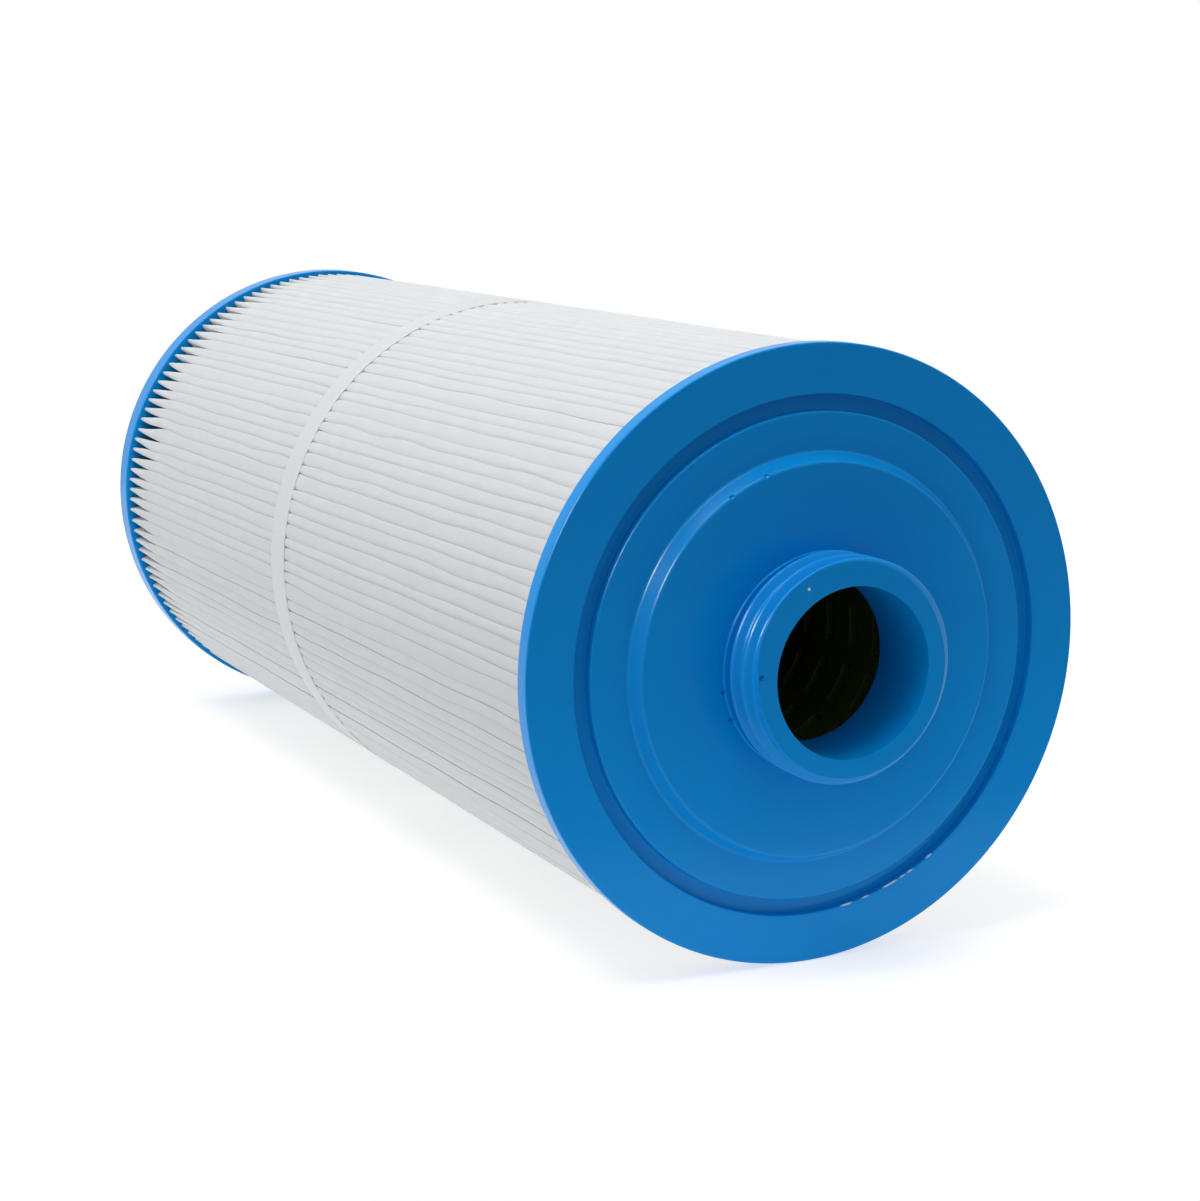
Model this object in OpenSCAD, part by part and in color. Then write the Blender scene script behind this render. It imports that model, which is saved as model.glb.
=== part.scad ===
// Pleated filter cartridge for a spa, lying on its side.
//
// The axis runs along Y, a cap radius above the floor, and the threaded nozzle points to -Y.
// The origin is on the floor, midway between the nozzle's tip and the closed end.
// Along the axis, depth 0 is the outlet cap's rim face: the nozzle has negative depths,
// and the pleats, the core and the closed end cap have positive ones.

/* [Cartridge] */
// Outside diameter of both end caps
cap_d = 127; // [120:1:150]
// Length over the two end caps, without the nozzle
body_l = 287; // [200:1:400]

/* [Outlet end cap] */
// Thickness of the outlet cap's rim
outlet_rim_t = 4; // [3.5:0.5:6]
// Outside diameter of the ring groove
groove_outer_d = 106.6; // [104:0.2:110]
// Inside diameter of the ring groove
groove_inner_d = 99.8; // [96:0.2:102]
// Depth of the ring groove
groove_depth = 2.2; // [0.5:0.1:2.6]
// Diameter of the raised step at its foot
boss_foot_d = 83.8; // [82:0.2:90]
// Diameter of the raised step at its top edge
boss_top_d = 80.4; // [70:0.2:81]
// Height of the raised step above the rim face
boss_h = 3.2; // [2:0.1:5]
// Diameter of the low collar around the nozzle's foot
collar_d = 45; // [44.6:0.2:56]
// Height of the collar above the raised step
collar_h = 0.5; // [0.3:0.1:2.4]

/* [Threaded nozzle] */
// Distance from the rim face to the nozzle's tip
nozzle_l = 15.5; // [14:0.5:24]
// Diameter of the bore
bore_d = 34.6; // [30:0.2:37]
// Diameter of the tube at the root of the thread
tube_d = 42.4; // [41:0.2:44]
// Diameter over the thread's crest
thread_d = 45.8; // [44.6:0.2:48]
// Pitch of the right-hand thread
thread_pitch = 4.6; // [4.2:0.1:5.2]
// Most turns of the thread, which has fewer on a short nozzle
thread_turns = 2.5; // [1:0.25:2.5]
// Chamfer around the nozzle's tip
tip_chamfer = 0.3; // [0.2:0.1:0.6]
// Thickness of the flange that is cast into the cap
flange_t = 2; // [1:0.25:2]

/* [Closed end cap] */
// Thickness of the closed cap's rim
closed_rim_t = 7; // [6:0.5:12]
// Diameter of the shallow recess in the closed face
recess_d = 60; // [30:1:90]
// Depth of the shallow recess
recess_depth = 2; // [0.5:0.1:2.5]

/* [Pleated media] */
// Number of pleats around the cartridge
pleat_count = 131; // [90:1:131]
// Diameter over the pleat tips
media_d = 124.4; // [116:0.2:125]
// Thickness of the folded sheet
sheet_t = 0.5; // [0.3:0.05:0.5]
// Outside width of a pleat's tip
tip_w = 1.5; // [1.2:0.1:1.8]

/* [Retaining band] */
// Width of the band along the axis
band_w = 9.5; // [6:0.5:20]
// Thickness of the band
band_t = 0.5; // [0.3:0.05:0.6]
// Depth of the band's middle below the outlet rim face
band_depth = 150; // [60:1:180]

/* [Centre core] */
// Outside diameter of the perforated core
core_d = 53; // [53:0.5:56]
// Wall thickness of the core
core_wall = 2.5; // [2:0.1:3]
// Depth that the core is let into each end cap
core_seat = 1.5; // [0.5:0.25:1.5]
// Length of the spigot that joins two core sections
spigot_l = 4; // [2:0.5:5]
// Rows of windows in each core section
window_rows = 6; // [3:1:6]
// Windows around the core, always an even number
window_columns = 12; // [6:2:12]
// Width of a window around the core
window_w = 9; // [4:0.5:9]

/* [Hidden] */
$fn = 96;

cap_colour = [0.06, 0.44, 0.68];
media_colour = [0.86, 0.87, 0.88];
band_colour = [0.90, 0.90, 0.90];
seam_colour = [0.80, 0.78, 0.70];
core_colour = [0.07, 0.08, 0.04];

cap_r = cap_d / 2;
flange_depth = outlet_rim_t - core_seat - flange_t;
core_r = core_d / 2;
core_bore_r = core_r - core_wall;
closed_inner = body_l - closed_rim_t;

// The core runs from the nozzle's flange to the seat in the closed cap.
section_count = 4;
core_start = outlet_rim_t - core_seat;
core_l = closed_inner + core_seat - core_start;
section_l = core_l / section_count;
joint_r = core_r - core_wall / 2;
joint_gap = 0.1;

// A ring of plain wall is left at both ends of a section, clear of its joints.
window_margin = spigot_l + 3;
window_pitch = (section_l - 2 * window_margin) / window_rows;
window_l = window_pitch * 0.32;

// Angles across one pleat, measured at the radius where each point lies.
pleat_pitch = 360 / pleat_count;
tip_r = media_d / 2;
root_r = core_r + 0.3;
valley_gap = 0.14;
tip_half = atan(tip_w / 2 / tip_r);
slot_half = tip_half - atan(sheet_t / tip_r);
valley_half = atan(valley_gap / 2 / root_r);
root_half = valley_half + atan(sheet_t / root_r);
seam_pleat = 90;

// The ridge of the thread: one cross-section, and how it runs out at its ends.
// It starts just beyond the nozzle's tip, where it is cut off, and ends above the collar.
thread_steps = 60;
thread_first_angle = 155;
thread_first_depth = -nozzle_l - 0.8;
ridge_base_w = 2.9;
ridge_crest_w = 1;
run_out_angle = 60;
thread_room = -boss_h - collar_h - 1 - thread_first_depth;
thread_angle = 360 * min(thread_turns, thread_room / thread_pitch);

// Turns the axis of a lathe shape along Y and puts depth 0 on the outlet rim face.
module along_axis() {
    translate([0, nozzle_l - (nozzle_l + body_l) / 2, cap_r])
        rotate([-90, 0, 0])
            children();
}

// A ring between two radii that starts at a depth and runs a length towards the closed end.
module ring(outer_r, inner_r, depth, length) {
    translate([0, 0, depth])
        difference() {
            cylinder(r = outer_r, h = length);
            translate([0, 0, -1])
                cylinder(r = inner_r, h = length + 2);
        }
}

// Cast cap around the nozzle: flat rim, ring groove, raised step and a low collar.
module outlet_end_cap() {
    collar_top = -boss_h - collar_h;
    color(cap_colour)
        along_axis()
            rotate_extrude()
                polygon([
                    [tube_d / 2, collar_top],
                    [collar_d / 2, collar_top],
                    [collar_d / 2, -boss_h],
                    [boss_top_d / 2, -boss_h],
                    [boss_foot_d / 2, 0],
                    [groove_inner_d / 2, 0],
                    [groove_inner_d / 2, groove_depth],
                    [groove_outer_d / 2, groove_depth],
                    [groove_outer_d / 2, 0],
                    [cap_r, 0],
                    [cap_r, outlet_rim_t],
                    [core_r, outlet_rim_t],
                    [core_r, flange_depth],
                    [tube_d / 2, flange_depth]
                ]);
}

// Tube with a flange that the cap is cast around, and a coarse thread outside.
module threaded_nozzle() {
    color(cap_colour)
        along_axis() {
            rotate_extrude()
                polygon([
                    [bore_d / 2, -nozzle_l],
                    [tube_d / 2 - tip_chamfer, -nozzle_l],
                    [tube_d / 2, -nozzle_l + tip_chamfer],
                    [tube_d / 2, flange_depth],
                    [core_r, flange_depth],
                    [core_r, core_start],
                    [bore_d / 2, core_start]
                ]);
            intersection() {
                thread_ridge();
                translate([0, 0, -nozzle_l])
                    cylinder(r = thread_d, h = nozzle_l);
            }
        }
}

// The ridge's height at an angle along it, as a share of its full height.
function ridge_share(angle, last_angle) =
    max(0.05, min(1, angle / run_out_angle, (last_angle - angle) / run_out_angle));

// One cross-section of the ridge, which sinks into the tube to well inside the tip's chamfer.
function ridge_section(angle, share) =
    let (
        sunk = 0.8,
        root = tube_d / 2 - sunk,
        crest = tube_d / 2 + (thread_d - tube_d) / 2 * share,
        middle = thread_first_depth + thread_pitch * angle / 360,
        turn = thread_first_angle + angle,
        base = ridge_base_w / 2,
        top = ridge_crest_w / 2
    )
    [
        for (p = [[root, -base], [crest, -top], [crest, top], [root, base]])
            [p[0] * cos(turn), p[0] * sin(turn), middle + p[1] * (0.4 + 0.6 * share)]
    ];

// The helical ridge, swept as a chain of four-cornered cross-sections.
module thread_ridge() {
    count = round(thread_steps * thread_angle / 360);
    points = [
        for (i = [0 : count])
            let (angle = thread_angle * i / count)
                each ridge_section(angle, ridge_share(angle, thread_angle))
    ];
    sides = [
        for (i = [0 : count - 1], j = [0 : 3])
            [4 * i + j, 4 * i + (j + 1) % 4, 4 * i + 4 + (j + 1) % 4, 4 * i + 4 + j]
    ];
    polyhedron(points, concat(sides, [[3, 2, 1, 0]], [[for (j = [0 : 3]) 4 * count + j]]));
}

// Cast cap without an opening: flat rim, ring groove and a shallow recess.
module closed_end_cap() {
    color(cap_colour)
        along_axis()
            rotate_extrude()
                polygon([
                    [0, closed_inner + core_seat],
                    [core_r, closed_inner + core_seat],
                    [core_r, closed_inner],
                    [cap_r, closed_inner],
                    [cap_r, body_l],
                    [groove_outer_d / 2, body_l],
                    [groove_outer_d / 2, body_l - groove_depth],
                    [groove_inner_d / 2, body_l - groove_depth],
                    [groove_inner_d / 2, body_l],
                    [recess_d / 2, body_l],
                    [recess_d / 2, body_l - recess_depth],
                    [0, body_l - recess_depth]
                ]);
}

function polar(radius, angle) = [radius * cos(angle), radius * sin(angle)];

// The middle of pleat k, counted from the pleat that holds the sheet's two ends.
function pleat_middle(k) = seam_pleat + k * pleat_pitch;

// The sheet's outer side from one pleat's tip through the valley to the next tip.
function outer_side(k) =
    let (valley = pleat_middle(k) + pleat_pitch / 2)
    [
        polar(tip_r, pleat_middle(k) + tip_half),
        polar(root_r + sheet_t, valley - valley_half),
        polar(root_r + sheet_t, valley + valley_half),
        polar(tip_r, pleat_middle(k + 1) - tip_half)
    ];

// The sheet's inner side along the same stretch, walked backwards.
function inner_side(k) =
    let (valley = pleat_middle(k) + pleat_pitch / 2)
    [
        polar(tip_r - sheet_t, pleat_middle(k + 1) - slot_half),
        polar(root_r, valley + root_half),
        polar(root_r, valley - root_half),
        polar(tip_r - sheet_t, pleat_middle(k) + slot_half)
    ];

// One long sheet folded into pleats, whose two ends meet in one pleat at the underside.
module pleated_media() {
    color(media_colour)
        along_axis()
            translate([0, 0, outlet_rim_t])
                linear_extrude(height = closed_inner - outlet_rim_t)
                    polygon(concat(
                        [for (k = [0 : pleat_count - 1]) each outer_side(k)],
                        [for (k = [pleat_count - 1 : -1 : 0]) each inner_side(k)]
                    ));
}

// Bead of adhesive between the sheet's two ends, over the outer half of that pleat.
module side_seam() {
    reach = 0.5;
    slot_end = polar(tip_r - sheet_t, seam_pleat + slot_half);
    slot_root = polar(root_r, seam_pleat + pleat_pitch / 2 - root_half);
    other_end = polar(tip_r - sheet_t, seam_pleat - slot_half);
    other_root = polar(root_r, seam_pleat - pleat_pitch / 2 + root_half);
    color(seam_colour)
        along_axis()
            translate([0, 0, outlet_rim_t])
                linear_extrude(height = closed_inner - outlet_rim_t)
                    polygon([
                        slot_end,
                        slot_end + reach * (slot_root - slot_end),
                        other_end + reach * (other_root - other_end),
                        other_end
                    ]);
}

// Flat strip around the pleat tips that keeps them evenly spaced.
module retaining_band() {
    color(band_colour)
        along_axis()
            ring(tip_r + band_t, tip_r, band_depth - band_w / 2, band_w);
}

// One moulded length of the core: a tube with rows of windows,
// a socket at its outlet end and a spigot at its other end.
module core_section(index) {
    start = core_start + index * section_l;
    color(core_colour)
        along_axis()
            difference() {
                union() {
                    ring(core_r, core_bore_r, start, section_l);
                    if (index < section_count - 1)
                        ring(joint_r - joint_gap, core_bore_r, start + section_l - 1, spigot_l + 1);
                }
                if (index > 0)
                    translate([0, 0, start - 1])
                        cylinder(r = joint_r, h = spigot_l + joint_gap + 1);
                core_windows(start);
            }
}

// Boxes that cut each pair of opposite windows through the tube at once.
module core_windows(start) {
    for (row = [0 : window_rows - 1], column = [0 : window_columns / 2 - 1])
        translate([0, 0, start + window_margin + (row + 0.5) * window_pitch])
            rotate([0, 0, column * 360 / window_columns])
                cube([core_d + 2, window_w, window_l], center = true);
}

module core_section_1() { core_section(0); }
module core_section_2() { core_section(1); }
module core_section_3() { core_section(2); }
module core_section_4() { core_section(3); }

outlet_end_cap();
threaded_nozzle();
closed_end_cap();
pleated_media();
side_seam();
retaining_band();
core_section_1();
core_section_2();
core_section_3();
core_section_4();
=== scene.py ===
"""Looks of a pleated spa filter cartridge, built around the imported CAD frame."""

import math

import bpy
import numpy as np
from mathutils import Matrix, Vector


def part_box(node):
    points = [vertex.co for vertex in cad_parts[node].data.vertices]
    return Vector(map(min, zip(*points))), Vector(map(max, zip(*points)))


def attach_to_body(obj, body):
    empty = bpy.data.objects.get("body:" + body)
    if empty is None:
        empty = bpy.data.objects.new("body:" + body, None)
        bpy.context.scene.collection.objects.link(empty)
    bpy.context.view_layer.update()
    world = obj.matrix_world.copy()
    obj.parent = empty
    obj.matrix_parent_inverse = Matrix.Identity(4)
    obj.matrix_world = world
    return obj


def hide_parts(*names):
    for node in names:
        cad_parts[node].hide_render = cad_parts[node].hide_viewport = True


MM = 0.001
TURN = 2 * math.pi

# The cartridge, in millimetres. Depth runs along the axis from the outlet cap's rim face
# towards the closed end, so the nozzle has negative depths.
CAP_R = 63.5
BODY_L = 287.0
NOZZLE_L = 15.5
OUTLET_RIM_T = 4.0
CLOSED_RIM_T = 7.0
GROOVE_OUTER_R = 53.3
GROOVE_INNER_R = 49.9
GROOVE_DEPTH = 2.2
STEP_FOOT_R = 41.9
STEP_TOP_R = 40.2
STEP_H = 3.2
STEP_FACE = -STEP_H
COLLAR_R = 22.5
COLLAR_H = 0.5
COLLAR_FACE = STEP_FACE - COLLAR_H
CORE_R = 26.5
FLANGE_DEPTH = 0.5
CORE_START = 2.5
CORE_SEAT = 1.5
RECESS_R = 30.0
RECESS_DEPTH = 2.0

# A cap without a hole has flat faces inside CENTRE_R, and the step's plateau has a ring of
# points LEVEL_EDGE inside each edge, so that it is shaded as level.
CENTRE_R = 2.0
LEVEL_EDGE = 1.2

TIP = -NOZZLE_L
TUBE_R = 21.2
BORE_R = 17.3
THREAD_R = 22.95
THREAD_PITCH = 4.6
THREAD_TURNS = 2.5
THREAD_FIRST_DEPTH = TIP - 0.8
THREAD_FIRST_ANGLE = math.radians(-155)
THREAD_RUN_OUT = math.radians(60)
THREAD_HALF_W = 1.45
BUBBLE_R = 20.6
BUBBLE_ANGLE = 121

PLEATS = 131
PITCH = TURN / PLEATS
SEAM_ANGLE = math.radians(-90)
VALLEYS = SEAM_ANGLE + (np.arange(PLEATS) + 0.5) * PITCH
MEDIA_START = OUTLET_RIM_T
MEDIA_END = BODY_L - CLOSED_RIM_T
POTTED = 0.3
SHEET_T = 0.45
ROOT_R = 26.8
CREST_R = 62.5
BLADE_HALF = 0.42
NOTCH_L = 20.0
LEAN = math.radians(3.4)

# Each end of the sheet stops SEAM_GAP of half a crest from the seam pleat's middle. ROOT_GAP
# is half the opening of a valley at its root, as an angle, and FLANK_DROP is how far below
# a crest's edge its flank starts to run straight to the root.
SEAM_GAP = 0.12
ROOT_GAP = 0.07 / ROOT_R
FLANK_DROP = 1.2

BAND_W = 9.5
BAND_DEPTH = 150.0
BAND_R = 62.2
BAND_T = 0.36
BAND_SLIP = 2.6
SLIP_ANGLE = math.radians(200)
LAP_T = 0.35
LAP_ANGLE = math.radians(12)
LAP_HALF = math.radians(7)
CORE_SECTIONS = 4

# Edges sharper than this many degrees stay sharp, and round pieces have this many steps.
SHARP = 45
LATHE_STEPS = 320
FINE_STEPS = 360

# The part of a noise texture's range over which the materials vary.
NOISE_LOW = 0.3
NOISE_HIGH = 0.7

# The camera's direction, and its place seen from the outlet face's centre along its own
# axes, in metres.
CAMERA_AZIMUTH = math.radians(-26.12)
CAMERA_PITCH = math.radians(-10.80)
LENS_MM = 73.73
SENSOR_MM = 36
LEFT_OF_CAP = 0.0429
ABOVE_CAP = 0.0117
FROM_CAP = 0.4940

# The surround's strength in front of the cartridge and behind it.
FRONT_LIGHT = 0.34
BACK_LIGHT = 0.85

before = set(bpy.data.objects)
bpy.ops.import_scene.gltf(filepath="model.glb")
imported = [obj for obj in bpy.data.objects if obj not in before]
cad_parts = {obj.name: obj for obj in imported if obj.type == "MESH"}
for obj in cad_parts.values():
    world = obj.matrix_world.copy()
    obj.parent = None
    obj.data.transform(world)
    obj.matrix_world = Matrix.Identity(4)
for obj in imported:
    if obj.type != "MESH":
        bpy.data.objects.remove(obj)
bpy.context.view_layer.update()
RIM_FACE_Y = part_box("threaded_nozzle")[0].y + NOZZLE_L * MM
AXIS_Z = CAP_R * MM
random = np.random.default_rng(7)


# ---------------------------------------------------------------- materials


def new_material(name):
    """A node material: itself, its node tree, its Principled shader and object coordinates."""
    material = bpy.data.materials.new(name)
    material.use_nodes = True
    tree = material.node_tree
    shader = tree.nodes["Principled BSDF"]
    coords = tree.nodes.new("ShaderNodeTexCoord")
    return material, tree, shader, coords.outputs["Object"]


def noise(tree, vector, scale, detail=4.0, roughness=0.55):
    """A noise texture's grey value over the given coordinates."""
    node = tree.nodes.new("ShaderNodeTexNoise")
    node.inputs["Scale"].default_value = scale
    node.inputs["Detail"].default_value = detail
    node.inputs["Roughness"].default_value = roughness
    tree.links.new(vector, node.inputs["Vector"])
    return node.outputs["Fac"]


def stretched(tree, vector, scale):
    """The coordinates scaled by three factors."""
    node = tree.nodes.new("ShaderNodeMapping")
    node.inputs["Scale"].default_value = scale
    tree.links.new(vector, node.inputs["Vector"])
    return node.outputs["Vector"]


def ramp(tree, value, low, high):
    """A colour between low and high as value goes through the noise's range."""
    node = tree.nodes.new("ShaderNodeValToRGB")
    stops = node.color_ramp.elements
    stops[0].position = NOISE_LOW
    stops[0].color = (*low, 1)
    stops[1].position = NOISE_HIGH
    stops[1].color = (*high, 1)
    tree.links.new(value, node.inputs["Fac"])
    return node.outputs["Color"]


def between(tree, value, low, high):
    """A number between low and high as value goes through the noise's range."""
    node = tree.nodes.new("ShaderNodeMapRange")
    node.inputs["From Min"].default_value = NOISE_LOW
    node.inputs["From Max"].default_value = NOISE_HIGH
    node.inputs["To Min"].default_value = low
    node.inputs["To Max"].default_value = high
    tree.links.new(value, node.inputs["Value"])
    return node.outputs["Result"]


def bumps(tree, shader, layers):
    """Chains bump nodes, one for each (height, distance in metres, strength), into the shader."""
    normal = None
    for height, distance, strength in layers:
        node = tree.nodes.new("ShaderNodeBump")
        node.inputs["Distance"].default_value = distance
        node.inputs["Strength"].default_value = strength
        tree.links.new(height, node.inputs["Height"])
        if normal:
            tree.links.new(normal, node.inputs["Normal"])
        normal = node.outputs["Normal"]
    tree.links.new(normal, shader.inputs["Normal"])


def cast_urethane():
    """Glossy blue cast urethane: faint cloudiness, soft waves, fine grain, and paler where
    a piece's points are marked pale: a painted highlight in the nozzle's bubble and pale
    dashes along the groove's edge."""
    material, tree, shader, place_at = new_material("cast_urethane")
    cloud = noise(tree, place_at, 45, detail=3)
    blue = ramp(tree, cloud, (0.0006, 0.232, 0.63), (0.001, 0.246, 0.655))
    pale_marks_and_glint = tree.nodes.new("ShaderNodeAttribute")
    pale_marks_and_glint.attribute_name = "pale_marks_and_glint"
    mixed = tree.nodes.new("ShaderNodeMix")
    mixed.data_type = "RGBA"
    # Colour of the points marked pale: a painted highlight in the nozzle's bubble, pale dashes on
    # the groove's edge.
    mixed.inputs["B"].default_value = (0.72, 0.86, 0.95, 1)
    tree.links.new(pale_marks_and_glint.outputs["Fac"], mixed.inputs["Factor"])
    tree.links.new(blue, mixed.inputs["A"])
    tree.links.new(mixed.outputs["Result"], shader.inputs["Base Color"])
    grain = noise(tree, place_at, 260, detail=3)
    tree.links.new(between(tree, grain, 0.2, 0.25), shader.inputs["Roughness"])
    shader.inputs["Specular IOR Level"].default_value = 0.13
    waves = noise(tree, place_at, 70, detail=2)
    bumps(tree, shader, [(waves, 0.0001, 0.1), (grain, 0.00001, 0.1)])
    return material


def pleated_fabric():
    """White spun polyester: matted fibres that run mostly along the pleats."""
    material, tree, shader, place_at = new_material("spun_polyester")
    fibres = noise(tree, stretched(tree, place_at, (1, 0.25, 1)), 1500, detail=8, roughness=0.7)
    patches = noise(tree, place_at, 160, detail=5)
    both = tree.nodes.new("ShaderNodeMix")
    both.inputs["Factor"].default_value = 0.35
    tree.links.new(patches, both.inputs["A"])
    tree.links.new(fibres, both.inputs["B"])
    white = ramp(tree, both.outputs["Result"], (0.49, 0.508, 0.52), (0.52, 0.534, 0.544))
    tree.links.new(white, shader.inputs["Base Color"])
    tree.links.new(between(tree, fibres, 0.75, 0.95), shader.inputs["Roughness"])
    shader.inputs["Specular IOR Level"].default_value = 0.15
    shader.inputs["Subsurface Weight"].default_value = 0.6
    shader.inputs["Subsurface Radius"].default_value = (1, 1, 1)
    shader.inputs["Subsurface Scale"].default_value = 0.0008
    bumps(tree, shader, [(patches, 0.00025, 0.25), (fibres, 0.00006, 0.35)])
    return material


def band_ribbon():
    """Smooth white polyester ribbon with a faint lengthwise grain."""
    material, tree, shader, place_at = new_material("white_ribbon")
    grain = noise(tree, stretched(tree, place_at, (0.3, 3, 0.3)), 500, detail=5)
    white = ramp(tree, grain, (0.54, 0.547, 0.557), (0.57, 0.576, 0.585))
    tree.links.new(white, shader.inputs["Base Color"])
    tree.links.new(between(tree, grain, 0.45, 0.6), shader.inputs["Roughness"])
    shader.inputs["Specular IOR Level"].default_value = 0.3
    bumps(tree, shader, [(grain, 0.00005, 0.3)])
    return material


def seam_adhesive():
    """Off-white hot-melt adhesive."""
    material, tree, shader, place_at = new_material("seam_adhesive")
    lumps = noise(tree, place_at, 320, detail=4)
    cream = ramp(tree, lumps, (0.68, 0.64, 0.50), (0.80, 0.77, 0.66))
    tree.links.new(cream, shader.inputs["Base Color"])
    tree.links.new(between(tree, lumps, 0.25, 0.45), shader.inputs["Roughness"])
    bumps(tree, shader, [(lumps, 0.0004, 0.4)])
    return material


def core_plastic():
    """Glossy olive-black moulded plastic with faint flow marks."""
    material, tree, shader, place_at = new_material("olive_black_plastic")
    flow = noise(tree, stretched(tree, place_at, (1, 0.4, 1)), 60, detail=5)
    dark = ramp(tree, flow, (0.075, 0.098, 0.012), (0.105, 0.135, 0.02))
    tree.links.new(dark, shader.inputs["Base Color"])
    tree.links.new(between(tree, flow, 0.16, 0.3), shader.inputs["Roughness"])
    bumps(tree, shader, [(flow, 0.0002, 0.3)])
    return material


# ---------------------------------------------------------------- mesh helpers


def smooth_step(value):
    """0 below 0, 1 above 1, and an easy curve between."""
    t = np.clip(value, 0, 1)
    return t * t * (3 - 2 * t)


def around(count):
    """Angles spread evenly around the axis."""
    return np.arange(count) * TURN / count


def place(radius, angle, depth):
    """Points in metres from radii and depths in millimetres and angles around the axis."""
    radius, angle, depth = np.broadcast_arrays(radius, angle, depth)
    across = radius * np.cos(angle) * MM
    along = RIM_FACE_Y + depth * MM
    up = AXIS_Z + radius * np.sin(angle) * MM
    return np.stack([across, along, up], axis=-1)


def grid_faces(rows, columns):
    """Quads of a grid of points whose columns close on themselves."""
    first = np.arange(rows - 1)[:, None] * columns
    column = np.arange(columns)[None, :]
    after = (column + 1) % columns
    quads = [first + column, first + after, first + columns + after, first + columns + column]
    return np.stack(quads, axis=-1).reshape(-1, 4).tolist()


def ring_faces(rows, columns):
    """Quads of a grid of points that closes on itself both ways."""
    total = rows * columns
    return [[i % total for i in face] for face in grid_faces(rows + 1, columns)]


def capped_faces(rows, columns):
    """Quads of a grid of points, with a flat face over its first row and its last."""
    last = (rows - 1) * columns
    faces = grid_faces(rows, columns)
    faces.append(list(range(columns))[::-1])
    faces.append([last + i for i in range(columns)])
    return faces


def make_piece(name, points, faces, material, sharp=SHARP):
    """A smooth-shaded mesh piece with edges sharper than a number of degrees kept sharp."""
    mesh = bpy.data.meshes.new(name)
    mesh.from_pydata(np.asarray(points).reshape(-1, 3).tolist(), [], faces)
    mesh.materials.append(material)
    piece = bpy.data.objects.new(name, mesh)
    bpy.context.scene.collection.objects.link(piece)
    face_outwards(mesh)
    mesh.shade_smooth()
    mesh.set_sharp_from_angle(angle=math.radians(sharp))
    return piece


def face_outwards(mesh):
    """Turns a closed mesh's faces over where its signed volume is negative."""
    mesh.calc_loop_triangles()
    points = np.empty(len(mesh.vertices) * 3)
    mesh.vertices.foreach_get("co", points)
    points = points.reshape(-1, 3)
    corners = np.empty(len(mesh.loop_triangles) * 3, int)
    mesh.loop_triangles.foreach_get("vertices", corners)
    a, b, c = (points[corners[i::3]] for i in range(3))
    if (a * np.cross(b, c)).sum() < 0:
        mesh.flip_normals()


def rounded(corners, steps=6):
    """The points of a profile whose (radius, depth, fillet) corners are rounded, with a point
    before and after each fillet that keeps the flat sides flat when they are shaded."""
    line = []
    count = len(corners)
    flat_from = 1.35
    for i, (radius, depth, fillet) in enumerate(corners):
        corner = np.array([radius, depth])
        before = np.array(corners[i - 1][:2]) - corner
        after = np.array(corners[(i + 1) % count][:2]) - corner
        to_before = before / np.linalg.norm(before)
        to_after = after / np.linalg.norm(after)
        if fillet == 0:
            line.append(corner)
            continue
        line.append(corner + to_before * fillet * flat_from)
        for t in np.linspace(0, 1, steps + 1):
            pull = fillet * ((1 - t) ** 2 * to_before + t**2 * to_after)
            line.append(corner + pull)
        line.append(corner + to_after * fillet * flat_from)
    return np.array(line)


def lathe(name, profile, material, connect=ring_faces):
    """A piece whose (radius, depth) profile turns around the axis: a ring whose profile
    closes on itself, or with capped_faces a solid whose profile ends near the axis."""
    points = place(profile[:, None, 0], around(LATHE_STEPS), profile[:, None, 1])
    return make_piece(name, points, connect(len(profile), LATHE_STEPS), material)


def settle(piece):
    """Replaces a piece's mesh with the result of its modifiers."""
    graph = bpy.context.evaluated_depsgraph_get()
    mesh = bpy.data.meshes.new_from_object(piece.evaluated_get(graph))
    piece.modifiers.clear()
    piece.data = mesh


def balls(name, spots):
    """Small balls in one mesh at (radius, angle in degrees, depth, ball radius), all in mm."""
    unit = bpy.data.meshes.new(name)
    shape = bpy.data.objects.new(name, unit)
    bpy.context.scene.collection.objects.link(shape)
    points = []
    faces = []
    rings = 8
    steps = 12
    for radius, angle, depth, size in spots:
        centre = place(radius, math.radians(angle), depth)
        start = len(points)
        for ring in range(1, rings):
            tilt = math.pi * ring / rings
            for step in range(steps):
                turn = TURN * step / steps
                across = math.sin(tilt) * math.cos(turn)
                up = math.sin(tilt) * math.sin(turn)
                spoke = np.array([across, math.cos(tilt), up])
                points.append(centre + spoke * size * MM)
        for face in capped_faces(rings - 1, steps):
            faces.append([start + i for i in face[::-1]])
    unit.from_pydata(np.array(points).tolist(), [], faces)
    face_outwards(unit)
    return shape


def carve(piece, spots):
    """Cuts small round pits into a piece."""
    shape = balls(piece.name + "_spots", spots)
    modifier = piece.modifiers.new("spots", "BOOLEAN")
    modifier.operation = "DIFFERENCE"
    modifier.solver = "EXACT"
    modifier.object = shape
    settle(piece)
    bpy.data.objects.remove(shape)
    piece.data.set_sharp_from_angle(angle=math.radians(SHARP))


def attach(piece, node):
    """The piece stands for its CAD node: it joins the root body and the node is hidden."""
    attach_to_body(piece, "root")
    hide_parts(node)


# ---------------------------------------------------------------- end caps


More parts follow.
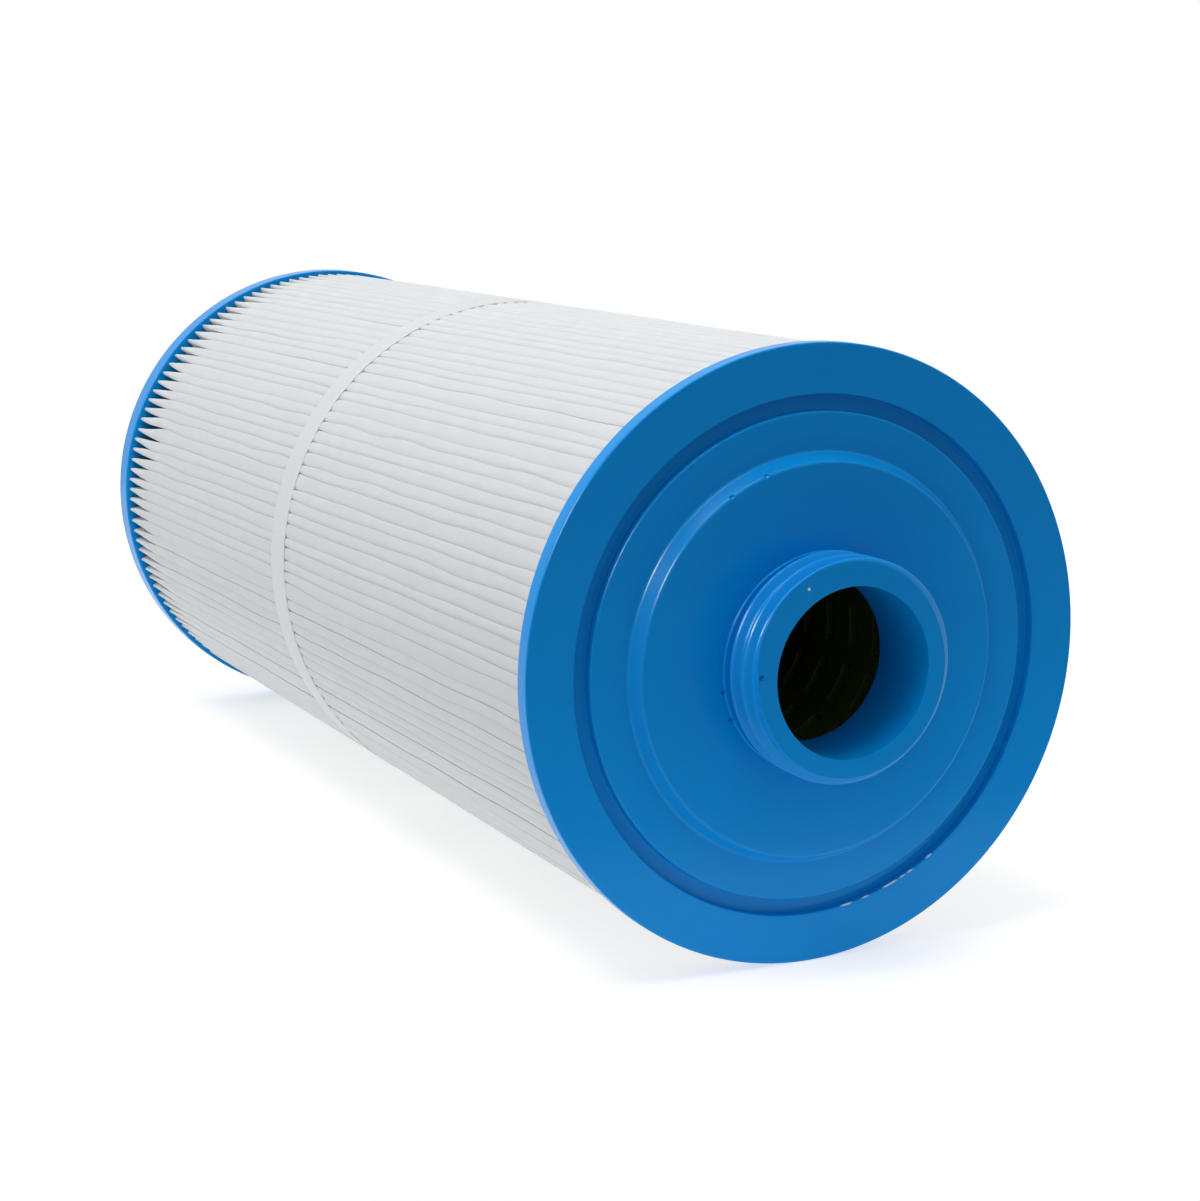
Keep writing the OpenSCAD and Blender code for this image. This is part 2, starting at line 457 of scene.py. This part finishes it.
def outlet_end_cap(material):
    """Cast outlet cap with its groove, sloped step and collar, and the casting's small flaws."""
    profile = rounded(
        [
            (TUBE_R, COLLAR_FACE, 0),
            (COLLAR_R, COLLAR_FACE, 0.15),
            (COLLAR_R, STEP_FACE, 0.15),
            (COLLAR_R + LEVEL_EDGE, STEP_FACE, 0),
            (STEP_TOP_R - LEVEL_EDGE, STEP_FACE, 0),
            (STEP_TOP_R, STEP_FACE, 0.5),
            (STEP_FOOT_R, 0, 0.5),
            (GROOVE_INNER_R, 0, 0.5),
            (GROOVE_INNER_R, GROOVE_DEPTH, 0.5),
            (GROOVE_OUTER_R, GROOVE_DEPTH, 0.5),
            (GROOVE_OUTER_R, 0, 0.3),
            (CAP_R, 0, 0.45),
            (CAP_R, OUTLET_RIM_T, 0.4),
            (CORE_R, OUTLET_RIM_T, 0),
            (CORE_R, FLANGE_DEPTH, 0),
            (TUBE_R, FLANGE_DEPTH, 0),
        ]
    )
    cap = lathe("outlet_end_cap_cast", profile, material)
    pits = [
        (COLLAR_R + 0.3, 190, STEP_FACE, 0.5),
        (COLLAR_R + 0.3, 205, STEP_FACE, 0.55),
        (STEP_TOP_R + 0.2, 121, STEP_FACE + 0.1, 0.6),
        (STEP_TOP_R + 0.2, 109, STEP_FACE + 0.1, 0.65),
        (STEP_TOP_R + 0.4, 187, STEP_FACE + 0.4, 0.3),
        (GROOVE_OUTER_R, 304, 0.1, 0.3),
        (GROOVE_OUTER_R, 322, 0.1, 0.25),
    ]
    carve(cap, pits)
    # Broken pale dashes along the lower part of the groove's outer edge.
    pale_groove_edge_marks(cap)
    return cap


def measured(piece):
    """A piece's points as radii and depths in mm and angles around the axis."""
    points = np.empty(len(piece.data.vertices) * 3)
    piece.data.vertices.foreach_get("co", points)
    across, along, up = points.reshape(-1, 3).T
    radius = np.hypot(across, up - AXIS_Z) / MM
    return radius, np.arctan2(up - AXIS_Z, across), (along - RIM_FACE_Y) / MM


def whiten(piece, share):
    """Stores how pale the cast plastic is painted at each point, from 0 to 1, for its material.
    In the nozzle's bubble this paints a highlight.
    """
    mark = piece.data.attributes.new("pale_marks_and_glint", "FLOAT", "POINT")
    mark.data.foreach_set("value", share.astype(np.float32))


def pale_groove_edge_marks(cap):
    """Marks broken pale dashes along the lower part of the groove's outer edge."""
    radius, angle, depth = measured(cap)
    reach = 0.25
    on_edge = (np.abs(radius - GROOVE_OUTER_R) < reach) & (np.abs(depth) < reach)
    lower_part = (angle > math.radians(-82)) & (angle < math.radians(-56))
    broken = np.sin(angle * 61) + np.sin(angle * 143 + 1) > 0.1
    whiten(cap, 0.8 * (on_edge & lower_part & broken))


def closed_end_cap(material):
    """Cast closed cap with a ring groove and a shallow recess in its outer face."""
    inner_face = BODY_L - CLOSED_RIM_T
    profile = rounded(
        [
            (CENTRE_R, inner_face + CORE_SEAT, 0),
            (CORE_R, inner_face + CORE_SEAT, 0),
            (CORE_R, inner_face, 0.3),
            (CAP_R, inner_face, 0.45),
            (CAP_R, BODY_L, 0.6),
            (GROOVE_OUTER_R, BODY_L, 0.3),
            (GROOVE_OUTER_R, BODY_L - GROOVE_DEPTH, 0.5),
            (GROOVE_INNER_R, BODY_L - GROOVE_DEPTH, 0.5),
            (GROOVE_INNER_R, BODY_L, 0.35),
            (RECESS_R, BODY_L, 0.5),
            (RECESS_R, BODY_L - RECESS_DEPTH, 0.6),
            (CENTRE_R, BODY_L - RECESS_DEPTH, 0),
        ]
    )
    cap = lathe("closed_end_cap_cast", profile, material, capped_faces)
    pits = [
        (GROOVE_INNER_R, 40, BODY_L, 0.35),
        (RECESS_R, 205, BODY_L, 0.4),
        (44, 310, BODY_L, 0.3),
        (12, 100, BODY_L - RECESS_DEPTH, 0.35),
    ]
    carve(cap, pits)
    return cap


# ---------------------------------------------------------------- nozzle


def ridge_height(angle, depth):
    """How far the thread stands out of the tube at each angle and depth, in mm."""
    height = np.zeros(np.broadcast(angle, depth).shape)
    last = TURN * THREAD_TURNS
    for turn in range(math.ceil(THREAD_TURNS)):
        along = (THREAD_FIRST_ANGLE - angle) % TURN + TURN * turn
        share = smooth_step(np.minimum(along, last - along) / THREAD_RUN_OUT)
        middle = THREAD_FIRST_DEPTH + THREAD_PITCH * along / TURN
        across = np.clip(np.abs(depth - middle) / THREAD_HALF_W, 0, 1)
        bump = (0.5 + 0.5 * np.cos(math.pi * across)) ** 0.75
        height = np.maximum(height, (THREAD_R - TUBE_R) * share * bump)
    return height


def bore_profile():
    """(radius, depth) points along the nozzle's flange and bore to the bore's rounded mouth."""
    profile = [(CORE_R, FLANGE_DEPTH), (CORE_R, CORE_START), (BORE_R, CORE_START)]
    profile += [(BORE_R, depth) for depth in np.linspace(CORE_START - 3, TIP + 1.2, 7)]
    profile += [(BORE_R, TIP + 0.5), (BORE_R, TIP + 0.3), (BORE_R + 0.08, TIP + 0.08)]
    profile += [(BORE_R + 0.3, TIP), (BORE_R + 0.5, TIP)]
    return profile


def nozzle_rings():
    """Rings of points from the flange through the bore, over the tip's rounded edge and back
    along the thread."""
    angles = around(FINE_STEPS)
    rings = [place(radius, angles, depth) for radius, depth in bore_profile()]
    for inset, drop in ((0.7, 0), (0.3, 0), (0.1, 0.03), (0.02, 0.1), (0, 0.22)):
        edge = TUBE_R + ridge_height(angles, TIP + drop)
        rings.append(place(edge - inset, angles, TIP + drop))
    for depth in np.linspace(TIP + 0.4, COLLAR_FACE, 64):
        rings.append(place(TUBE_R + ridge_height(angles, depth), angles, depth))
    rings.append(place(TUBE_R, angles, COLLAR_FACE + 0.6))
    rings.append(place(TUBE_R, angles, FLANGE_DEPTH))
    return rings


def threaded_nozzle(material):
    """Tube with a rounded helical ridge that its tip face cuts off, and a flange in the cap."""
    rings = nozzle_rings()
    faces = ring_faces(len(rings), FINE_STEPS)
    nozzle = make_piece("threaded_nozzle_tube", rings, faces, material, sharp=50)
    pits = [
        (20.9, 177, TIP + 0.05, 0.6),
        (BORE_R, 203, TIP + 0.1, 0.2),
        (BUBBLE_R, BUBBLE_ANGLE, TIP - 0.5, 0.62),
    ]
    carve(nozzle, pits)
    # The bubble's pit gets a painted highlight: a pale painted glint.
    paint_bubble_glint(nozzle)
    return nozzle


def paint_bubble_glint(nozzle):
    """Paints a pale highlight, a painted glint, into the bubble's pit in the tip face."""
    radius, angle, depth = measured(nozzle)
    off_bubble = np.hypot(radius - BUBBLE_R, radius * (angle - math.radians(BUBBLE_ANGLE)))
    below_face = (depth > TIP + 0.01) & (depth < TIP + 0.2)
    whiten(nozzle, (off_bubble < 0.34) & below_face)


# ---------------------------------------------------------------- pleated media


def media_stations():
    """The depths at which the media has a cross-section, closer where its shape changes."""
    band_start = BAND_DEPTH - BAND_W / 2
    band_end = BAND_DEPTH + BAND_W / 2
    start = MEDIA_START - POTTED
    notch = MEDIA_END - NOTCH_L - 6
    parts = [
        [start, MEDIA_START + 0.3, MEDIA_START + 1, MEDIA_START + 2.2, MEDIA_START + 4.5],
        np.linspace(MEDIA_START + 9, band_start - 17, 20),
        band_start - np.array([12, 9, 7, 5.6, 4.6, 3.8, 3, 2.2, 1.5, 0.8, 0.3, 0]),
        band_end + np.array([-2.4, -1.6, -0.8, 0, 0.6, 1.6, 3, 5, 8]),
        np.linspace(band_end + 14, notch - 6, 12),
        np.linspace(notch, MEDIA_END, 17),
        [MEDIA_END + POTTED],
    ]
    return np.concatenate(parts)


def wander(depths, size, waves):
    """Slow seeded waves along the depths, different for every pleat."""
    total = np.zeros((len(depths), PLEATS))
    for wave in range(1, waves + 1):
        phase = random.uniform(0, TURN, PLEATS)
        amount = random.normal(0, size / waves, PLEATS)
        total += amount * np.sin(TURN * wave * depths[:, None] / BODY_L + phase)
    return total


def band_slip(angle):
    """How far the band lies from its nominal depth at an angle, in mm: it has slipped
    towards the outlet on one side."""
    slipped = np.clip(np.cos(angle - SLIP_ANGLE), 0, 1) ** 2
    return 0.22 * np.sin(2 * angle + 0.6) + 0.1 * np.sin(5 * angle) - BAND_SLIP * slipped


def valley_angles(depths):
    """The angle of every valley at the crests' radius at every depth. The valleys are uneven,
    wander and lean, and are less uneven near the closed end."""
    uneven = 1 - 0.55 * smooth_step((depths - MEDIA_END + 2 * NOTCH_L) / (2 * NOTCH_L))[:, None]
    jitter = random.uniform(-0.15, 0.15, PLEATS) * PITCH
    jitter[[0, -1]] = 0
    drift = wander(depths, 0.2 * PITCH, 9)
    lean = LEAN * (depths[:, None] / BODY_L - 0.5)
    return VALLEYS + jitter * uneven + drift + lean


def band_grip(depths):
    """How pinched every pleat is next to the band at every depth, and how far the band
    presses it down, from 0 to 1."""
    middle = BAND_DEPTH + band_slip(SEAM_ANGLE + np.arange(PLEATS) * PITCH)
    past_middle = depths[:, None] - middle
    off_band = np.abs(past_middle) - BAND_W / 2
    outlet_side = smooth_step(1 - off_band / 5)
    closed_side = 0.6 * smooth_step(1 - off_band / 4)
    pinch = np.where(past_middle < 0, outlet_side, closed_side)
    pressed = 1 - smooth_step((off_band + 0.8) / 0.8)
    return pinch, pressed


def open_valleys(depths):
    """How far every valley has opened at every depth, from 0 to 1 at the closed end. Nine
    valleys, picked at random, open over a longer distance."""
    length = NOTCH_L + random.normal(0, 2.2, PLEATS)
    length[random.choice(PLEATS, 9, replace=False)] += 4
    return np.clip(1 - (MEDIA_END - depths[:, None]) / length, 0, 1) ** 1.3


def pleat_edges(depths, pinch):
    """Angles of every pleat's left and right crest edges at every depth, and how far the
    pleat is drawn to a blade, from 0 to 1."""
    valleys = valley_angles(depths)
    before = np.roll(valleys, 1, axis=1)
    before[:, 0] -= TURN
    middle = (before + valleys) / 2
    half = (valleys - before) / 2
    at_outlet = smooth_step(1 - (depths - MEDIA_START) / 3)[:, None]
    gap = 0.004 + 0.1 * pinch + 0.05 * at_outlet
    body = half - gap / CREST_R
    narrowing = BLADE_HALF / CREST_R - body
    right_open = open_valleys(depths)
    left_open = np.roll(right_open, 1, axis=1)
    right = middle + body + narrowing * right_open
    left = middle - body - narrowing * left_open
    return left, right, (right_open + left_open) / 2


def crest_radius(depths, pressed):
    """The radius of every pleat's crest at every depth."""
    own = random.normal(0, 0.04, PLEATS)
    radius = CREST_R + own + wander(depths, 0.06, 3)
    under_band = BAND_R - 0.12
    return radius + (np.minimum(radius, under_band) - radius) * pressed


def crest_drop(across, narrow, slope_drop, fall_drop):
    """How far a crest's outline lies below its top, from its left edge at -1 to its right
    edge at 1: a long slope, a top right of the middle, and a short fall."""
    top = 0.2 * (1 - narrow)
    slope = np.clip((top - across) / (1 + top), 0, 1)
    fall = np.clip((across - top) / (1 - top), 0, 1)
    left_round = np.clip((-across - 0.8) / 0.2, 0, 1) ** 2
    return slope_drop * slope**1.9 + fall_drop * fall**2 + 0.03 * left_round * (1 - narrow)


def crest_point(pleat, across):
    """(radius, angle) on a pleat's crest, from its left edge at -1 to its right at 1."""
    start, end, top, slope, fall, narrow = pleat
    angle = (start + end) / 2 + (end - start) / 2 * across
    return top - crest_drop(across, narrow, slope, fall), angle


def inner_point(pleat, across):
    """(radius, angle) on the sheet's inner side below a pleat's crest."""
    start, end, top = pleat[:3]
    inner_half = np.maximum((end - start) / 2 - SHEET_T / CREST_R, 0.04 / CREST_R)
    radius = top - SHEET_T - 0.5 - 0.25 * abs(across)
    return radius, (start + end) / 2 + inner_half * across


def flank_point(pleat, across, root_angle):
    """(radius, angle) a little below a crest's edge, on the way to the valley's root."""
    radius, angle = crest_point(pleat, across)
    share = FLANK_DROP / (radius - ROOT_R)
    return radius - FLANK_DROP, angle + (root_angle - angle) * share


def in_order(points, first, last):
    """The points of all valleys one after another, as radii and angles in one row for each
    depth, between the sheet's first point and its last."""
    rows = []
    for i in range(2):
        row = np.stack([point[i] for point in points], axis=-1).reshape(len(first[i]), -1)
        row[:, 0] = first[i][:, 0]
        rows.append(np.concatenate([row, last[i][:, -1:]], axis=1))
    return rows


def media_outline(depths):
    """Both sides of the folded sheet at every depth: outer and inner (radius, angle) arrays,
    one row for each depth, running once around from the seam back to the seam."""
    pinch, pressed = band_grip(depths)
    left, right, blades = pleat_edges(depths, pinch)
    crest = crest_radius(depths, pressed)
    slope_drop = (0.18 + random.normal(0, 0.03, PLEATS)) * (1 + blades) + 0.06 * pinch
    fall_drop = (0.25 + random.normal(0, 0.03, PLEATS)) * (1 + blades) + 0.06 * pinch
    pleat = (left, right, crest, slope_drop, fall_drop, blades)
    following = [np.roll(values, -1, axis=1) for values in pleat]
    following[0][:, -1] += TURN
    following[1][:, -1] += TURN

    valley = VALLEYS + 0 * depths[:, None]
    root = np.full_like(valley, ROOT_R)
    inner_gap = ROOT_GAP + SHEET_T / ROOT_R
    outer = [crest_point(pleat, across) for across in (0, 0.2, 0.4, 0.6, 0.8, 1)]
    outer.append(flank_point(pleat, 1, valley - ROOT_GAP))
    outer.append((root + SHEET_T, valley - ROOT_GAP))
    outer.append((root + SHEET_T, valley + ROOT_GAP))
    outer.append(flank_point(following, -1, valley + ROOT_GAP))
    outer += [crest_point(following, across) for across in (-1, -0.85, -0.6, -0.3)]
    inner = [inner_point(pleat, 0), inner_point(pleat, 1)]
    inner.append((root, valley - inner_gap))
    inner.append((root, valley + inner_gap))
    inner.append(inner_point(following, -1))

    outer = in_order(outer, crest_point(pleat, SEAM_GAP), crest_point(following, -SEAM_GAP))
    inner = in_order(inner, inner_point(pleat, SEAM_GAP), inner_point(following, -SEAM_GAP))
    return outer, inner


def end_faces(outer_count, inner_count, first, flip):
    """Faces that close the folded sheet's end, a few for each valley."""
    outer_per = (outer_count - 1) // PLEATS
    inner_per = (inner_count - 1) // PLEATS
    last = outer_count + inner_count - 1
    faces = []
    for valley in range(PLEATS):
        outer = [first + valley * outer_per + i for i in range(outer_per + 1)]
        inner = [first + last - valley * inner_per - i for i in range(inner_per + 1)]
        faces.append([*outer[0:6], inner[1], inner[0]])
        faces.append([*outer[5:8], inner[2], inner[1]])
        faces.append([*outer[7:9], inner[3], inner[2]])
        faces.append([*outer[8:11], inner[4], inner[3]])
        faces.append([*outer[10:15], inner[5], inner[4]])
    return [face[::-1] for face in faces] if flip else faces


def pleated_media(material):
    """One long sheet folded into pleats, whose ends meet in the seam pleat."""
    depths = media_stations()
    outer, inner = media_outline(depths)
    radius = np.concatenate([outer[0], inner[0][:, ::-1]], axis=1)
    angle = np.concatenate([outer[1], inner[1][:, ::-1]], axis=1)
    points = place(radius, angle, depths[:, None])
    columns = radius.shape[1]
    faces = grid_faces(len(depths), columns)
    outer_count = outer[0].shape[1]
    inner_count = inner[0].shape[1]
    faces += end_faces(outer_count, inner_count, 0, True)
    faces += end_faces(outer_count, inner_count, (len(depths) - 1) * columns, False)
    return make_piece("pleated_media_sheet", points, faces, material, sharp=55)


def side_seam(material):
    """Bead of adhesive in the seam pleat, just below its crest."""
    depths = np.linspace(MEDIA_START + 0.1, MEDIA_END - 0.1, 60)
    middle = SEAM_ANGLE + LEAN * (depths / BODY_L - 0.5)
    half_w = 0.30 - 0.2 * smooth_step((depths - MEDIA_END + NOTCH_L) / NOTCH_L)
    half_h = 0.42
    centre = CREST_R - 1.55 + 0.12 * np.sin(depths / 3.1) * np.sin(depths / 7.3)
    turns = around(10)
    radius = centre[:, None] + half_h * np.sin(turns)
    angle = middle[:, None] + half_w[:, None] * np.cos(turns) / CREST_R
    points = place(radius, angle, depths[:, None])
    faces = capped_faces(len(depths), len(turns))
    return make_piece("side_seam_bead", points, faces, material)


# ---------------------------------------------------------------- band and core


def retaining_band(material):
    """Flat ribbon around the crests, slightly wavy, with a welded lap at the underside."""
    angles = around(FINE_STEPS)
    start = BAND_DEPTH - BAND_W / 2
    end = BAND_DEPTH + BAND_W / 2
    profile = rounded(
        [
            (BAND_R, start, 0.12),
            (BAND_R + BAND_T, start, 0.16),
            (BAND_R + BAND_T, end, 0.16),
            (BAND_R, end, 0.12),
        ]
    )
    off_lap = (angles - SEAM_ANGLE - LAP_ANGLE + math.pi) % TURN - math.pi
    lap = LAP_T * smooth_step(1.4 - np.abs(off_lap) / LAP_HALF)
    ripple = 0.03 * np.sin(PLEATS * angles / 3) * np.sin(7 * angles)
    is_outer = (profile[:, 0] > BAND_R + BAND_T / 2)[:, None]
    radius = profile[:, :1] + is_outer * (lap + ripple)
    points = place(radius, angles[None, :], profile[:, 1:] + band_slip(angles))
    faces = ring_faces(len(profile), FINE_STEPS)
    return make_piece("retaining_band_ribbon", points, faces, material)


def finish_core(material):
    """Gives the moulded core sections soft edges and their own plastic."""
    for index in range(1, CORE_SECTIONS + 1):
        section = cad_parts[f"core_section_{index}"]
        section.data.materials.clear()
        section.data.materials.append(material)
        section.data.shade_smooth()
        weld = section.modifiers.new("weld", "WELD")
        weld.merge_threshold = 0.00001
        bevel = section.modifiers.new("bevel", "BEVEL")
        bevel.width = 0.00025
        bevel.segments = 2
        bevel.limit_method = "ANGLE"
        bevel.angle_limit = math.radians(40)
        normals = section.modifiers.new("normals", "WEIGHTED_NORMAL")
        normals.keep_sharp = False


# ---------------------------------------------------------------- stage


def camera():
    """A camera in front of the outlet cap, to its left and looking a little down."""
    right = Vector((math.cos(CAMERA_AZIMUTH), math.sin(CAMERA_AZIMUTH), 0))
    level = Vector((-math.sin(CAMERA_AZIMUTH), math.cos(CAMERA_AZIMUTH), 0))
    forward = level * math.cos(CAMERA_PITCH) + Vector((0, 0, math.sin(CAMERA_PITCH)))
    up = right.cross(forward)
    face_centre = Vector((0, RIM_FACE_Y, AXIS_Z))
    data = bpy.data.cameras.new("camera")
    data.lens = LENS_MM
    data.sensor_width = SENSOR_MM
    eye = bpy.data.objects.new("camera", data)
    bpy.context.scene.collection.objects.link(eye)
    eye.location = face_centre - (right * LEFT_OF_CAP - up * ABOVE_CAP + forward * FROM_CAP)
    axes = Matrix((right, up, -forward)).transposed()
    eye.rotation_euler = axes.to_euler()
    bpy.context.scene.camera = eye


def soft_box(name, location, size, power, gloss_only=False):
    """A square soft light that points at the cartridge, or one that only adds highlights."""
    data = bpy.data.lights.new(name, "AREA")
    data.shape = "SQUARE"
    data.size = size
    data.energy = power
    light = bpy.data.objects.new(name, data)
    light.location = location
    aim = Vector((0, 0, AXIS_Z)) - Vector(location)
    light.rotation_euler = aim.to_track_quat("-Z", "Y").to_euler()
    light.visible_diffuse = not gloss_only
    bpy.context.scene.collection.objects.link(light)


def white_floor():
    """A pale round floor that glows faintly."""
    bpy.ops.mesh.primitive_circle_add(
        vertices=96, radius=0.46, fill_type="NGON", location=(0, 0.24, 0)
    )
    floor = bpy.context.object
    floor.name = "floor"
    paper, tree, shader, place_at = new_material("white_paper")
    tint = ramp(tree, noise(tree, place_at, 30), (0.52, 0.52, 0.52), (0.55, 0.55, 0.55))
    tree.links.new(tint, shader.inputs["Base Color"])
    shader.inputs["Roughness"].default_value = 0.9
    shader.inputs["Specular IOR Level"].default_value = 0.0
    shader.inputs["Emission Color"].default_value = (1, 1, 1, 1)
    shader.inputs["Emission Strength"].default_value = 0.6
    floor.data.materials.append(paper)


def white_surround():
    """A surround that looks white to the camera and lights the scene more from the back."""
    world = bpy.data.worlds.new("white_surround")
    bpy.context.scene.world = world
    world.use_nodes = True
    tree = world.node_tree
    seen = tree.nodes["Background"]
    seen.inputs["Color"].default_value = (1, 1, 1, 1)
    lit = tree.nodes.new("ShaderNodeBackground")
    direction = tree.nodes.new("ShaderNodeTexCoord").outputs["Generated"]
    back_and_up = tree.nodes.new("ShaderNodeVectorMath")
    back_and_up.operation = "DOT_PRODUCT"
    back_and_up.inputs[1].default_value = (0, 1, 0.4)
    tree.links.new(direction, back_and_up.inputs[0])
    front_to_back = tree.nodes.new("ShaderNodeMapRange")
    front_to_back.interpolation_type = "SMOOTHSTEP"
    front_to_back.inputs["From Min"].default_value = -0.85
    front_to_back.inputs["From Max"].default_value = 0.15
    front_to_back.inputs["To Min"].default_value = FRONT_LIGHT
    front_to_back.inputs["To Max"].default_value = BACK_LIGHT
    tree.links.new(back_and_up.outputs["Value"], front_to_back.inputs["Value"])
    tree.links.new(front_to_back.outputs["Result"], lit.inputs["Strength"])
    lit.inputs["Color"].default_value = (0.97, 0.99, 1, 1)
    path = tree.nodes.new("ShaderNodeLightPath")
    mix = tree.nodes.new("ShaderNodeMixShader")
    tree.links.new(path.outputs["Is Camera Ray"], mix.inputs["Fac"])
    tree.links.new(lit.outputs["Background"], mix.inputs[1])
    tree.links.new(seen.outputs["Background"], mix.inputs[2])
    tree.links.new(mix.outputs["Shader"], tree.nodes["World Output"].inputs["Surface"])


def studio():
    """A pale floor, a white surround, a soft light overhead and one for gloss at the left."""
    white_floor()
    white_surround()
    soft_box("overhead", (-0.3, -0.1, 1.05), 0.6, 7)
    soft_box("edge_light", (-0.67, -0.42, 0.50), 0.24, 16, gloss_only=True)
    view = bpy.context.scene.view_settings
    view.view_transform = "Standard"
    view.look = "None"


# ---------------------------------------------------------------- the cartridge

urethane = cast_urethane()
fabric = pleated_fabric()

attach(outlet_end_cap(urethane), "outlet_end_cap")
attach(closed_end_cap(urethane), "closed_end_cap")
attach(threaded_nozzle(urethane), "threaded_nozzle")
media = pleated_media(fabric)
attach(media, "pleated_media")
attach(side_seam(seam_adhesive()), "side_seam")
attach(retaining_band(band_ribbon()), "retaining_band")
finish_core(core_plastic())

camera()
studio()
